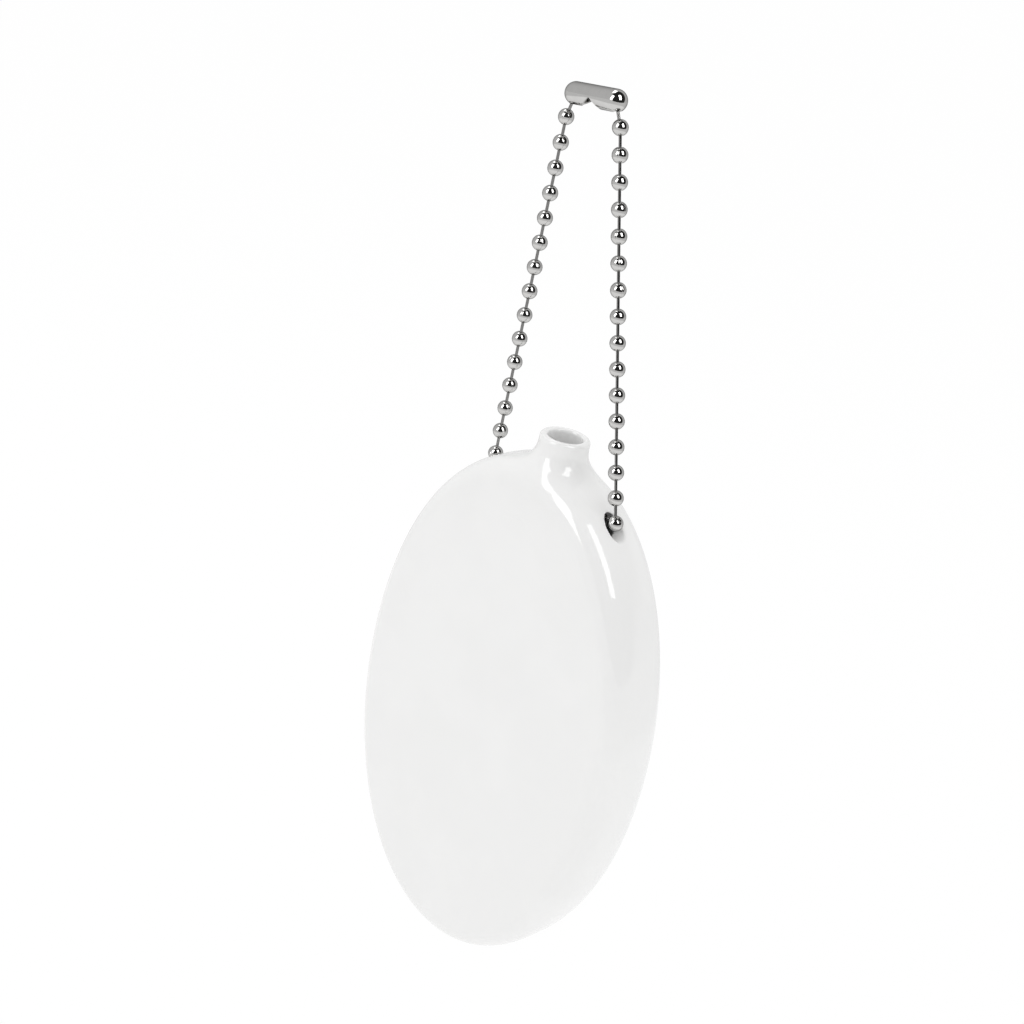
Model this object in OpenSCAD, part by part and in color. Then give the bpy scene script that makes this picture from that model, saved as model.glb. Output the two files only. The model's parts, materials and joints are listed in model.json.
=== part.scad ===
// Squeeze coin purse: a hollow oval pouch of flexible vinyl, slit down its back and carried on a loop of
// ball chain. Millimetres. +X is to the right as the plain front is seen, +Y runs from front to back and
// +Z is up.
// The origin is the middle of the connector, where the purse hangs.

/* [Pouch] */
// Width of the oval, across the slit
pouch_w = 55.5; // [46:0.5:70]
// Length of the oval along the slit, without the neck
pouch_l = 85.5; // [71:0.5:108]
// Thickness from the front face to the back face
pouch_t = 12.4; // [10.2:0.2:16]
// Turn of each end's arc to each side of the long axis, in degrees; the side arcs take the rest
end_turn = 59; // [54:1:64]
// Radius of the edge between the faces and the side wall
edge_r = 4.5; // [2.5:0.1:5.5]
// Wall of the moulded vinyl
wall = 1.8; // [1.2:0.1:2.4]

/* [Neck] */
// Outside diameter of the neck
neck_d = 7.8; // [6.8:0.1:9.4]
// Diameter of the bore through the neck
neck_bore_d = 5.4; // [4:0.1:6]
// Height of the rim above the top of the oval
neck_h = 4.3; // [3:0.1:6]
// Radius of the cove between the neck and the shoulders
cove_r = 1.6; // [0.8:0.1:2.2]
// How far the cove's foot stands proud of the oval's rounded edge, in front and behind
cove_lift = 0.3; // [0.1:0.1:0.6]

/* [Slit and lips] */
// Distance from the top of the oval down to the slit
slit_from_top = 13.5; // [12:0.5:24]
// Distance from the bottom of the oval up to the slit
slit_from_foot = 10; // [9:0.5:20]
// Width of each lip, from the slit to the line where it bends
lip_w = 14; // [11:0.5:17]
// Radius of a lip's corners on the bending side
lip_corner_r = 9; // [4:0.5:10]
// Running gap round each lip
lip_gap = 0.3; // [0.2:0.05:0.5]
// Gap between the two lips at rest
slit_gap = 0.2; // [0.1:0.05:0.4]

/* [Chain holes] */
// Distance from the top of the oval down to the chain that crosses it
chain_drop = 4.25; // [3.75:0.25:7]
// Play round a bead in the hole punched through each shoulder
hole_play = 0.6; // [0.4:0.05:1]
// What is left of that play above the beads, where the pouch hangs on them
hang_play = 0.1; // [0.05:0.01:0.3]
// How far the bead in each hole's mouth stands out past the outline
mouth_out = 0.1; // [0:0.05:0.5]

/* [Ball chain] */
// Diameter of a bead
bead_d = 2.4; // [2.3:0.05:2.9]
// Sheet thickness of a hollow bead
bead_wall = 0.25; // [0.2:0.01:0.28]
// Distance from bead to bead along the taut chain
bead_pitch = 3.8; // [3.1:0.05:4.6]
// Diameter of the link wire
wire_d = 0.42; // [0.34:0.01:0.46]
// Play round the wire in the holes of a bead
wire_play = 0.08; // [0.06:0.01:0.09]
// How far the headed end of a link reaches past its hole, all round
head_over = 0.04; // [0.03:0.01:0.05]
// Slack between a link's head and its seat in the bead
link_slack = 0.14; // [0.13:0.01:0.16]
// Lean of the left strand away from the vertical, outwards, in degrees
left_lean = 0.6; // [0:0.1:4]
// Distance between the first bead of each strand, under the connector
top_gap = 10.6; // [8.8:0.1:12]

/* [Connector] */
// Distance between the two end beads that the connector holds
end_gap = 7.8; // [6.5:0.1:9]
// Sheet thickness of the connector
connector_wall = 0.3; // [0.2:0.02:0.4]
// Running gap between an end bead and the connector
connector_play = 0.1; // [0.06:0.01:0.2]
// Play on each side of a link wire in the connector's slot
slot_play = 0.44; // [0.36:0.02:0.6]
// Play round a bead in the entry hole in the middle of the slot
entry_play = 0.15; // [0.05:0.05:0.3]
// Radius of the arched relief beside the entry hole
relief_r = 1.9; // [1.5:0.1:2.4]
// How far the relief cuts up from the underside of the connector
relief_depth = 0.9; // [0.5:0.05:1.1]

/* [Hidden] */
left_count = 15;
right_count = 16;
levels = left_count;
function two_digits(i) = i < 10 ? str("0", i) : str(i);

vinyl = "WhiteSmoke";
nickel = "Silver";
// How far a cut reaches past the face that it goes through
cut = 1;
$fn = 48;
oval_fn = 160;

// The outline is four arcs that run smoothly into each other, because the centre of an end arc and that of
// a side arc lie arc_gap apart on the line through the point where the two meet
function to_micron(v) = round(1000 * v) / 1000;
centre_gap = (pouch_l - pouch_w) / 2 / (sin(end_turn) + cos(end_turn) - 1);
side_r = to_micron(pouch_w / 2 + centre_gap * sin(end_turn));
end_r = to_micron(pouch_l / 2 - centre_gap * cos(end_turn));
arc_gap = side_r - end_r;
side_centre_at = [-arc_gap * sin(end_turn), 0, 0];
end_centre_at = [0, arc_gap * cos(end_turn), 0];

// Half the width of the outline at a distance below the top of the oval, within the end arc
function outline_x(drop) = sqrt(2 * end_r * drop - drop * drop);

// The chain's points, first with the middle of the oval as their origin
function unit(v) = v / norm(v);
function up_and_over(lean, run) = [run * sin(lean), 0, run * cos(lean)];
chain_z = pouch_l / 2 - chain_drop;
mouth_x = outline_x(chain_drop) + mouth_out;
left_mouth_at = [-mouth_x, 0, chain_z];
right_mouth_at = [mouth_x, 0, chain_z];
left_run = (left_count - 1) * bead_pitch;
right_run = (right_count - 1) * bead_pitch;
left_top_at = left_mouth_at + up_and_over(-left_lean, left_run);

// The right strand's first bead is right_run from its mouth and top_gap from the left strand's first bead
reach = norm(left_top_at - right_mouth_at);
reach_way = (left_top_at - right_mouth_at) / reach;
reach_side = [reach_way[2], 0, -reach_way[0]];
reach_foot = (right_run * right_run - top_gap * top_gap + reach * reach) / (2 * reach);
reach_off = sqrt(right_run * right_run - reach_foot * reach_foot);
right_top_at = right_mouth_at + reach_foot * reach_way + reach_off * reach_side;

// The end beads lie over the first beads, one pitch away and end_gap apart
top_way = unit(right_top_at - left_top_at);
top_up = [-top_way[2], 0, top_way[0]];
leg_in = (top_gap - end_gap) / 2;
leg_up = sqrt(bead_pitch * bead_pitch - leg_in * leg_in);
left_end_at = left_top_at + leg_in * top_way + leg_up * top_up;
right_end_at = right_top_at - leg_in * top_way + leg_up * top_up;
hang_at = (left_end_at + right_end_at) / 2;
connector_tilt = atan2(top_way[2], top_way[0]);

// Bead places in the part's frame: 0 is the end bead in the connector, 1 the first bead under it
crossing_count = ceil(2 * mouth_x / bead_pitch) - 1;
crossing_step = 2 * mouth_x / (crossing_count + 1);
function crossing_bead(i) = left_mouth_at - hang_at + [i * crossing_step, 0, 0];
function strand_bead(i, end_at, top_at, mouth_at, count, inner) =
    i == 0 ? end_at - hang_at
    : i > count ? inner
    : top_at - hang_at + (i - 1) / (count - 1) * (mouth_at - top_at);
function left_bead(i) =
    strand_bead(i, left_end_at, left_top_at, left_mouth_at, left_count, crossing_bead(1));
function right_bead(i) =
    strand_bead(i, right_end_at, right_top_at, right_mouth_at, right_count, crossing_bead(crossing_count));

// A link's head lies link_slack inside the place where it would touch the rim of its hole
bead_hole_r = wire_d / 2 + wire_play;
bead_in_r = bead_d / 2 - bead_wall;
link_head_r = bead_hole_r + head_over;
head_seat = sqrt(pow(bead_in_r, 2) - pow(bead_hole_r, 2)) - sqrt(pow(link_head_r, 2) - pow(bead_hole_r, 2));
link_head_in = head_seat - link_slack;

pouch_at = -hang_at;
half_t = pouch_t / 2;
rim_z = pouch_l / 2 + neck_h;
hole_d = bead_d + 2 * hole_play;
hang_drop = hole_play - hang_play;
slit_l = pouch_l - slit_from_top - slit_from_foot;
slit_z = (slit_from_foot - slit_from_top) / 2;
barrel_in_r = bead_d / 2 + connector_play;
barrel_out_r = barrel_in_r + connector_wall;
// How far the section of a side arc reaches past the long axis, so that the two sides overlap
arc_overlap = pouch_w / 8;

// Turns a shape that points up so that it points along a way
module aim(way) {
    rotate([0, acos(way[2] / norm(way)), atan2(way[1], way[0])]) children();
}

// A hollow bead with a hole towards each link that it holds
module bead(at, neighbours) {
    translate(at) difference() {
        sphere(d = bead_d);
        sphere(r = bead_in_r);
        for (neighbour = neighbours)
            aim(neighbour - at) cylinder(r = bead_hole_r, h = bead_d);
    }
}

// A link wire from one bead to the next, with a head inside each
module link(from, to) {
    run = norm(to - from);
    translate(from) aim(to - from) {
        translate([0, 0, link_head_in]) cylinder(d = wire_d, h = run - 2 * link_head_in);
        for (z = [link_head_in, run - link_head_in])
            translate([0, 0, z]) sphere(r = link_head_r);
    }
}

module beads(i) {
    color(nickel) {
        bead(left_bead(i), [left_bead(i - 1), left_bead(i + 1)]);
        bead(right_bead(i), [right_bead(i - 1), right_bead(i + 1)]);
    }
}

module links(i) {
    color(nickel) {
        link(left_bead(i - 1), left_bead(i));
        link(right_bead(i - 1), right_bead(i));
    }
}

// The two beads that the connector holds, with one hole each
module end_beads() {
    color(nickel) {
        bead(left_bead(0), [left_bead(1)]);
        bead(right_bead(0), [right_bead(1)]);
    }
}

// The right strand's last link and the bead in the right hole mouth
module link_16() {
    color(nickel) link(right_bead(right_count - 1), right_bead(right_count));
}

module bead_16() {
    color(nickel) bead(right_bead(right_count), [right_bead(right_count - 1), right_bead(right_count + 1)]);
}

// The chain inside the pouch, from one hole mouth to the other
module crossing_beads() {
    color(nickel) for (i = [1:crossing_count])
        bead(crossing_bead(i), [crossing_bead(i - 1), crossing_bead(i + 1)]);
}

module crossing_links() {
    color(nickel) for (i = [0:crossing_count])
        link(crossing_bead(i), crossing_bead(i + 1));
}

// A round-ended barrel along X, as long as the end beads are apart
module barrel(r) {
    rotate([0, 90, 0]) cylinder(r = r, h = end_gap, center = true);
    for (side = [-1, 1])
        translate([side * end_gap / 2, 0, 0]) sphere(r = r);
}

// The connector: a rolled barrel, open along its underside, with an entry hole in the middle
module connector() {
    slot_l = end_gap + bead_d;
    slot_w = wire_d + 2 * slot_play;
    through = barrel_out_r + cut;
    color(nickel) rotate([0, -connector_tilt, 0]) difference() {
        barrel(barrel_out_r);
        barrel(barrel_in_r);
        translate([-slot_l / 2, -slot_w / 2, -through]) cube([slot_l, slot_w, through]);
        translate([0, 0, -through]) cylinder(d = bead_d + 2 * entry_play, h = through);
        translate([0, 0, relief_depth - barrel_out_r - relief_r]) rotate([90, 0, 0])
            cylinder(r = relief_r, h = 2 * through, center = true);
    }
}

// Half a section through the oval, from r_in out to its rounded edge at r
module edge_section(r, r_in, t, e) {
    translate([r_in, -t / 2]) square([r - e - r_in, t]);
    translate([r_in, e - t / 2]) square([r - r_in, t - 2 * e]);
    for (y = [-1, 1])
        translate([r - e, y * (t / 2 - e)]) circle(r = e);
}

// Moves to a place in two steps, first to the nearest micron, so that the arcs meet exactly
module step_to(at) {
    near = [for (v = at) to_micron(v)];
    translate(near) translate(at - near) children();
}

// A flat oval of four arcs with rounded edges, standing on its end; inset draws its faces in
module oval(inset) {
    t = pouch_t - 2 * inset;
    e = edge_r - inset;
    side_turn = 90 - end_turn;
    side_in_r = -side_centre_at[0] - arc_overlap;
    rotate([90, 0, 0]) for (turn = [0, 180]) rotate([0, 0, turn]) {
        step_to(end_centre_at) rotate_extrude(start = side_turn, angle = 2 * end_turn, $fn = oval_fn)
            edge_section(end_r - inset, 0, t, e);
        step_to(side_centre_at) rotate_extrude(start = -side_turn, angle = 2 * side_turn, $fn = oval_fn)
            edge_section(side_r - inset, side_in_r, t, e);
    }
}

// The neck with its rounded rim, and the cove that spreads it over the shoulders
module neck_blank() {
    rim_r = (neck_d - neck_bore_d) / 4;
    ring_r = neck_bore_d / 2 + rim_r;
    foot_r = neck_d / 2 + cove_r;
    root_z = pouch_l / 2 - half_t;
    cove_z = pouch_l / 2 - cove_r / 2;
    translate([0, 0, root_z]) cylinder(d = neck_d, h = rim_z - rim_r - root_z);
    translate([0, 0, rim_z - rim_r]) rotate_extrude() translate([ring_r, 0]) circle(r = rim_r);
    intersection() {
        union() {
            translate([0, 0, root_z]) cylinder(r = foot_r, h = cove_z - root_z);
            translate([0, 0, cove_z]) rotate_extrude() difference() {
                translate([ring_r, 0]) square([foot_r - ring_r, cove_r]);
                translate([foot_r, cove_r]) circle(r = cove_r);
            }
        }
        edge_roll(edge_r + cove_lift, 2 * (foot_r + cut));
    }
}

// A bar along X that follows the rounded edge at the top of the oval; r is the radius of its two sides
module edge_roll(r, run) {
    translate([0, 0, pouch_l / 2 - edge_r]) rotate([0, 90, 0]) {
        for (y = [-1, 1])
            translate([0, y * (half_t - edge_r), 0]) cylinder(r = r, h = run, center = true);
        cube([2 * r, 2 * (half_t - edge_r), run], center = true);
    }
}

// A slab in the back face, round at its four corners, with its outer side at the back face
module back_slab(w, l, r, depth) {
    translate([0, half_t - depth / 2, slit_z]) {
        cube([w - 2 * r, depth, l], center = true);
        cube([w, depth, l - 2 * r], center = true);
        for (x = [-1, 1], z = [-1, 1])
            translate([x * (w / 2 - r), 0, z * (l / 2 - r)]) rotate([90, 0, 0])
                cylinder(r = r, h = depth, center = true);
    }
}

// The moulded pouch without its lips
module pouch_shell() {
    color(vinyl) translate(pouch_at) difference() {
        union() {
            oval(0);
            neck_blank();
        }
        oval(wall);
        cylinder(d = neck_bore_d, h = rim_z + cut);
        translate([0, 0, chain_z - hang_drop]) rotate([0, 90, 0])
            cylinder(d = hole_d, h = pouch_w, center = true);
        translate([0, cut, 0]) back_slab(2 * lip_w, slit_l, lip_corner_r, wall + 2 * cut);
    }
}

// One lip of the slit: side is -1 on the left and 1 on the right
module lip(side) {
    color(vinyl) translate(pouch_at) intersection() {
        back_slab(2 * (lip_w - lip_gap), slit_l - 2 * lip_gap, lip_corner_r - lip_gap, wall);
        translate([side * (pouch_w + slit_gap) / 2, 0, 0])
            cube([pouch_w, 2 * pouch_t, 2 * pouch_l], center = true);
    }
}

connector();
end_beads();
for (i = [1:levels]) {
    links(i);
    beads(i);
}
link_16();
bead_16();
crossing_links();
crossing_beads();
pouch_shell();
lip(-1);  // lip_left
lip(1);  // lip_right
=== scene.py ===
import json
import math
from functools import partial

import bmesh
import bpy
import numpy as np
from bpy.props import FloatProperty, FloatVectorProperty, PointerProperty
from bpy.types import Operator, Panel, PropertyGroup
from mathutils import Matrix, Vector


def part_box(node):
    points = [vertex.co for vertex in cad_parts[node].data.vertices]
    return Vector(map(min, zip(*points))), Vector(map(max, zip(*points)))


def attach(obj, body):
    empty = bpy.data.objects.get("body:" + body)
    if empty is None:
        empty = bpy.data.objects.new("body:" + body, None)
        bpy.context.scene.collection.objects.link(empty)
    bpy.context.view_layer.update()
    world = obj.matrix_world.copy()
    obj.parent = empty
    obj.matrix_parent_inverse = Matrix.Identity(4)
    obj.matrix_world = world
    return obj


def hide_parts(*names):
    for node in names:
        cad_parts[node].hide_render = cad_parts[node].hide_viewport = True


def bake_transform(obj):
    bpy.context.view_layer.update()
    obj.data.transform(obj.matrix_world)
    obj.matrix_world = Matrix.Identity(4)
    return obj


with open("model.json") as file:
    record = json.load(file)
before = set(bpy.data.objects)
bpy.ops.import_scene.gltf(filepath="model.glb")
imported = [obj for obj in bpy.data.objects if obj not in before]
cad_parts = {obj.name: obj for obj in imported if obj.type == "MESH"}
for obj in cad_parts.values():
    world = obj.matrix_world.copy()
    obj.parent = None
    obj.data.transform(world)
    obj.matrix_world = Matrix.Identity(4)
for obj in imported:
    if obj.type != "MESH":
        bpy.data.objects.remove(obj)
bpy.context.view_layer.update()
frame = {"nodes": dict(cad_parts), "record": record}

bl_info = {
    "name": "Squeeze coin purse",
    "version": (1, 0),
    "blender": (4, 5, 0),
    "location": "View3D > Sidebar > Purse",
    "description": "Moulded vinyl squeeze purse on a loop of ball chain",
    "category": "Object",
}

MM = 0.001
TAU = 2 * math.pi
TINY = 1e-9  # keeps a division off zero
WELD = 0.001 * MM  # corners that are closer than this are one
CLEAR = 1 * MM  # how far a grid or a cutter reaches past what it has to clear


# What the frame says: the pouch's box, and the chain's bodies from the connector down

def node_points(node):
    """A CAD node's corners, in metres."""
    mesh = frame["nodes"][node].data
    points = np.empty(len(mesh.vertices) * 3)
    mesh.vertices.foreach_get("co", points)
    return points.reshape(-1, 3)


POUCH_LOW, POUCH_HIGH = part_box("pouch_shell")
CHAIN_BODIES = [body for body in frame["record"]["behaviour"]["bodies"] if body.startswith("level_")]


# What a user can change

def number_prop(name, description, default, **kind):
    """A number that a user can change."""
    return FloatProperty(name=name, description=description, default=default, **kind)


length_prop = partial(number_prop, unit="LENGTH")
angle_prop = partial(number_prop, subtype="ANGLE")
level_prop = partial(number_prop, min=0)
share_prop = partial(number_prop, min=0, max=1)


class PouchSizes(PropertyGroup):
    """Sizes of the moulded pouch; its length is the CAD model's."""
    width: length_prop("Width", "Width of the oval across the slit", POUCH_HIGH.x - POUCH_LOW.x)
    thickness: length_prop("Thickness", "From the front face to the back face", POUCH_HIGH.y - POUCH_LOW.y)
    neck_height: length_prop("Neck height", "Height of the rim above the oval", 4.3 * MM)
    neck_width: length_prop("Neck width", "Outside diameter of the neck", 7.8 * MM)
    neck_bore: length_prop("Neck bore", "Diameter of the bore through the neck", 5.4 * MM)
    cove: length_prop("Cove", "Reach of the cove between the neck and the shoulders", 3.4 * MM)
    wall: length_prop("Wall", "Thickness of the vinyl", 1.8 * MM)
    edge: length_prop("Edge", "How far the rounded edge reaches in from the outline", 4.6 * MM)
    outline_power: number_prop("Outline power", "2 is an ellipse, more is fuller", 2.05, min=1.8, max=3)
    edge_power: number_prop("Edge power", "2 is a round edge, more is squarer", 3, min=2, max=5)
    hole_width: length_prop("Chain hole", "Diameter of the hole in each shoulder", 3.1 * MM)
    hole_drop: length_prop("Hole drop", "From the top of the oval to the middle of the holes", 5.0 * MM)


class LipSizes(PropertyGroup):
    """Sizes of the slit in the back and of the two lips that bend open beside it."""
    from_top: length_prop("Slit from top", "From the top of the oval down to the slit", 13.5 * MM)
    from_foot: length_prop("Slit from foot", "From the bottom of the oval up to the slit", 10 * MM)
    width: length_prop("Lip width", "From the slit to the line where a lip bends", 14 * MM)
    slit: length_prop("Slit", "Gap between the two lips at rest", 0.2 * MM)
    round_edge: length_prop("Lip edge", "Radius of the lips' edges at the slit", 0.35 * MM)


class ChainSizes(PropertyGroup):
    """Sizes of the ball chain; the places of its beads come from the CAD model."""
    bead: length_prop("Bead", "Diameter of a bead", 2.4 * MM)
    sheet: length_prop("Bead sheet", "Sheet thickness of a bead", 0.25 * MM)
    hole: length_prop("Bead hole", "Diameter of the holes in a bead", 0.6 * MM)
    seam: length_prop("Seam", "Depth of the rolled seam in a bead", 0.035 * MM)
    wire: length_prop("Wire", "Diameter of a link wire", 0.45 * MM)
    head: length_prop("Head", "Diameter of a link's head inside a bead", 0.66 * MM)
    head_in: length_prop("Head place", "From a bead's middle to the middle of the head", 0.6 * MM)


class ConnectorSizes(PropertyGroup):
    """Sizes of the rolled connector; its length and thickness come from the CAD model."""
    sheet: length_prop("Sheet", "Sheet thickness", 0.3 * MM)
    proud: length_prop("Proud", "How far the sheet stands out past the CAD solid", 0.08 * MM)
    slot: length_prop("Slot", "Width of the slot along the underside", 1.3 * MM)
    entry: length_prop("Entry hole", "Diameter of the hole that a bead comes in through", 2.7 * MM)
    near_notch_width: length_prop("Near notch width", "Width of the front's notch at its foot", 4.0 * MM)
    near_notch_depth: length_prop("Near notch depth", "How far the front's notch cuts up", 1.6 * MM)
    far_notch_width: length_prop("Far notch width", "Width of the back's notch at its foot", 6.4 * MM)
    far_notch_depth: length_prop("Far notch depth", "How far the back's notch cuts up", 1.9 * MM)
    notch_round: length_prop("Notch top", "Radius of the notches' rounded tops", 0.3 * MM)
    bevel: length_prop("Edge", "Width of the broken edges", 0.05 * MM)


class Finish(PropertyGroup):
    """Colours and gloss."""
    vinyl: FloatVectorProperty(name="Vinyl", description="Colour of the vinyl", subtype="COLOR", size=4,
                               min=0, max=1, default=(0.90, 0.90, 0.895, 1))
    vinyl_roughness: share_prop("Vinyl roughness", "Roughness of the vinyl", 0.05)
    nickel: FloatVectorProperty(name="Nickel", description="Colour of the plated steel", subtype="COLOR",
                                size=4, min=0, max=1, default=(0.64, 0.635, 0.625, 1))
    nickel_roughness: share_prop("Nickel roughness", "Roughness of the plating", 0.07)
    # painted shade: how dark the link wires' colour is made, for the dark that they reflect
    wire_shade: share_prop("Wire shade", "Brightness of the link wires beside the beads", 0.45)


class PhotoView(PropertyGroup):
    """Where the photograph was taken from, about the middle of the oval."""
    azimuth: angle_prop("Azimuth", "Turn to the right of the plain front", math.radians(41.1))
    elevation: angle_prop("Elevation", "Height above the level of the object", math.radians(23.1))
    roll: angle_prop("Roll", "Tilt of the camera about its own axis", math.radians(12.7))
    distance: length_prop("Distance", "Distance of the camera", 285.1 * MM)
    aside: length_prop("Aside", "Shift of the view to the right", -5.36 * MM)
    above: length_prop("Above", "Shift of the view upwards", 30.35 * MM)
    lens: number_prop("Lens", "Focal length in millimetres on a 36 mm sensor", 62.56)


class Studio(PropertyGroup):
    """The floor and the light round the object."""
    floor_drop: length_prop("Floor drop", "From the foot of the pouch to the floor", 110 * MM)
    fill: level_prop("Fill", "Level of the light from all round", 0.93)
    room: level_prop("Room", "Grey of the room in reflections", 0.62)
    dark: level_prop("Dark", "Grey of the unlit side in reflections", 0.02)
    softbox: level_prop("Softbox", "Brightness of the softbox's face", 2.4)
    card: level_prop("Cards", "Brightness of the two cards, which only show in reflections", 5)
    lit_floor: length_prop("Lit floor", "Radius of the floor that is lit in reflections", 0.45)
    far_floor: level_prop("Far floor", "Grey of the rest of the floor in reflections", 0.7)


# Node trees

class Signal:
    """A socket of a node tree; sums, differences, products and quotients add their Math nodes."""

    def __init__(self, kit, node, output=None):
        self.kit = kit
        self.node = node
        self.output = output

    @property
    def socket(self):
        """The named output, or else the first one that the node's settings leave in use."""
        if self.output is None:
            return next(output for output in self.node.outputs if output.enabled)
        return self.node.outputs[self.output]

    def out(self, name):
        """Another output of the same node."""
        return Signal(self.kit, self.node, name)

    def __add__(self, other):
        return self.kit.math("ADD", self, other)

    def __radd__(self, other):
        return self.kit.math("ADD", other, self)

    def __sub__(self, other):
        return self.kit.math("SUBTRACT", self, other)

    def __rsub__(self, other):
        return self.kit.math("SUBTRACT", other, self)

    def __mul__(self, other):
        return self.kit.math("MULTIPLY", self, other)

    def __rmul__(self, other):
        return self.kit.math("MULTIPLY", other, self)

    def __truediv__(self, other):
        return self.kit.math("DIVIDE", self, other)

    def __rtruediv__(self, other):
        return self.kit.math("DIVIDE", other, self)


class Kit:
    """Adds nodes to one tree."""

    def __init__(self, tree):
        self.tree = tree
        tree.nodes.clear()

    def add(self, kind, settings=None, sockets=None):
        """A node of a kind: its settings first, then each socket's value, link or list of links."""
        node = self.tree.nodes.new(kind)
        for name, value in (settings or {}).items():
            setattr(node, name, value)
        in_use = {socket.name: socket for socket in node.inputs if socket.enabled}
        for name, value in (sockets or {}).items():
            socket = node.inputs[name] if isinstance(name, int) else in_use[name]
            for part in value if isinstance(value, list) else [value]:
                if isinstance(part, Signal):
                    self.tree.links.new(part.socket, socket)
                else:
                    socket.default_value = part
        return Signal(self, node)

    def math(self, operation, *values):
        """A Math node on one to three values."""
        return self.add("ShaderNodeMath", {"operation": operation}, dict(enumerate(values)))

    def mix(self, factor, first, second):
        """Two colours mixed by a factor."""
        return self.add("ShaderNodeMix", {"data_type": "RGBA"}, {"Factor": factor, "A": first, "B": second})

    def smooth(self, value, low, high):
        """0 below low, 1 above high, and a smooth step between."""
        return self.add("ShaderNodeMapRange", {"interpolation_type": "SMOOTHSTEP"},
                        {"Value": value, "From Min": low, "From Max": high})

    def noise(self, place, scale, detail):
        """Noise from 0 to 1 with lumps of about 1 / scale metres."""
        return self.add("ShaderNodeTexNoise", {}, {"Vector": place, "Scale": scale, "Detail": detail})


NOISE_MEAN = 0.5
WIRE = "wire"  # the attribute that is 1 on the link wires


def shaded(color, amount):
    """A colour made lighter or darker."""
    return tuple(min(1, c * amount) for c in color[:3]) + (1,)


def new_material(name):
    material = bpy.data.materials.new(name)
    material.use_nodes = True
    return material, Kit(material.node_tree)


def vinyl():
    """Glossy soft vinyl: hardly mottled, with the faint waves of a dipped skin."""
    cloud_shade = 0.985
    cloud_gloss = 0.05
    grain_gloss = 0.04
    grain_height = 0.06
    finish = bpy.context.scene.purse_finish
    material, kit = new_material("glossy_vinyl")
    place = kit.add("ShaderNodeTexCoord").out("Object")
    cloud = kit.noise(place, scale=90, detail=2)
    grain = kit.noise(place, scale=900, detail=3)
    waves = kit.noise(place, scale=160, detail=1)
    bright = kit.smooth(cloud, low=0.35, high=0.65)
    color = kit.mix(bright, shaded(finish.vinyl, cloud_shade), tuple(finish.vinyl))
    mottle = cloud_gloss * (cloud - NOISE_MEAN) + grain_gloss * (grain - NOISE_MEAN)
    bump = kit.add("ShaderNodeBump", {}, {
        "Strength": 1.0, "Distance": 0.01 * MM, "Height": waves + grain_height * grain})
    skin = kit.add("ShaderNodeBsdfPrincipled", {}, {
        "Base Color": color, "Roughness": finish.vinyl_roughness + mottle, "Normal": bump, "IOR": 1.5})
    kit.add("ShaderNodeOutputMaterial", {}, {"Surface": skin})
    return material


def nickel():
    """Bright nickel plating with fine rubbing marks, rougher on the link wires; painted shade darkens the
    wires' colour and the reflections at the rims.
    """
    cloud_shade = 0.95
    cloud_gloss = 0.05
    rubbing_gloss = 0.05
    wire_gloss = 0.12
    # painted shade: a dark edge tint that darkens the plating's reflections round the rims of the beads
    painted_rim_shade = (0.3, 0.3, 0.3, 1)
    finish = bpy.context.scene.purse_finish
    material, kit = new_material("bright_nickel")
    place = kit.add("ShaderNodeTexCoord").out("Object")
    cloud = kit.noise(place, scale=700, detail=2)
    rubbing = kit.noise(place, scale=5000, detail=4)
    wire = kit.add("ShaderNodeAttribute", {"attribute_name": WIRE}).out("Fac")
    bright = kit.smooth(cloud, low=0.3, high=0.7)
    color = kit.mix(bright, shaded(finish.nickel, cloud_shade), tuple(finish.nickel))
    # painted shade: the link wires get a darker copy of the nickel, for the dark that they reflect
    color = kit.mix(wire, color, shaded(finish.nickel, finish.wire_shade))
    marks = cloud_gloss * (cloud - NOISE_MEAN) + rubbing_gloss * (rubbing - NOISE_MEAN)
    bump = kit.add("ShaderNodeBump", {}, {"Strength": 1.0, "Distance": 0.002 * MM, "Height": cloud})
    plating = kit.add("ShaderNodeBsdfPrincipled", {}, {
        "Base Color": color, "Metallic": 1.0, "Normal": bump, "Specular Tint": painted_rim_shade,
        "Roughness": finish.nickel_roughness + marks + wire_gloss * wire})
    kit.add("ShaderNodeOutputMaterial", {}, {"Surface": plating})
    return material


def finish_of(slot):
    """The vinyl or the nickel, made when it is first asked for."""
    name, make = {"vinyl": ("glossy_vinyl", vinyl), "nickel": ("bright_nickel", nickel)}[slot]
    return bpy.data.materials.get(name) or make()


# Meshes

def new_object(name, data):
    """An object in the scene for a mesh, a lamp or a camera."""
    piece = bpy.data.objects.new(name, data)
    bpy.context.scene.collection.objects.link(piece)
    return piece


def finished(piece, slot):
    """Gives a piece one of the record's finishes all over."""
    mesh = piece.data
    mesh.materials.clear()
    mesh.materials.append(finish_of(slot))
    mesh.polygons.foreach_set("material_index", [0] * len(mesh.polygons))
    return piece


def settled_mesh(piece):
    """Takes a piece's modifiers into its mesh."""
    graph = bpy.context.evaluated_depsgraph_get()
    mesh = bpy.data.meshes.new_from_object(piece.evaluated_get(graph), depsgraph=graph)
    piece.modifiers.clear()
    piece.data = mesh
    return piece


def ring_of_faces(mesh, ring, after):
    """Joins one closed ring of a bmesh's corners to the next."""
    corners = zip(ring, ring[1:] + ring[:1], after[1:] + after[:1], after)
    return [mesh.faces.new(four) for four in corners]


def closed_mesh(name, draft):
    """Takes a closed bmesh into a new mesh, with its faces pointing outwards."""
    bmesh.ops.recalc_face_normals(draft, faces=draft.faces)
    mesh = bpy.data.meshes.new(name)
    draft.to_mesh(mesh)
    draft.free()
    return mesh


# The pouch's skin: a signed distance, in metres, about the middle of the oval

def smooth_min(a, b, reach):
    """The lesser of two distances, with a fillet where they are less than reach apart."""
    near = np.maximum(reach - abs(a - b), 0) / reach
    return np.minimum(a, b) - near * near * reach / 4


def smooth_max(a, b, reach):
    """The greater of two distances, rounded where they are less than reach apart."""
    return -smooth_min(-a, -b, reach)


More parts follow.
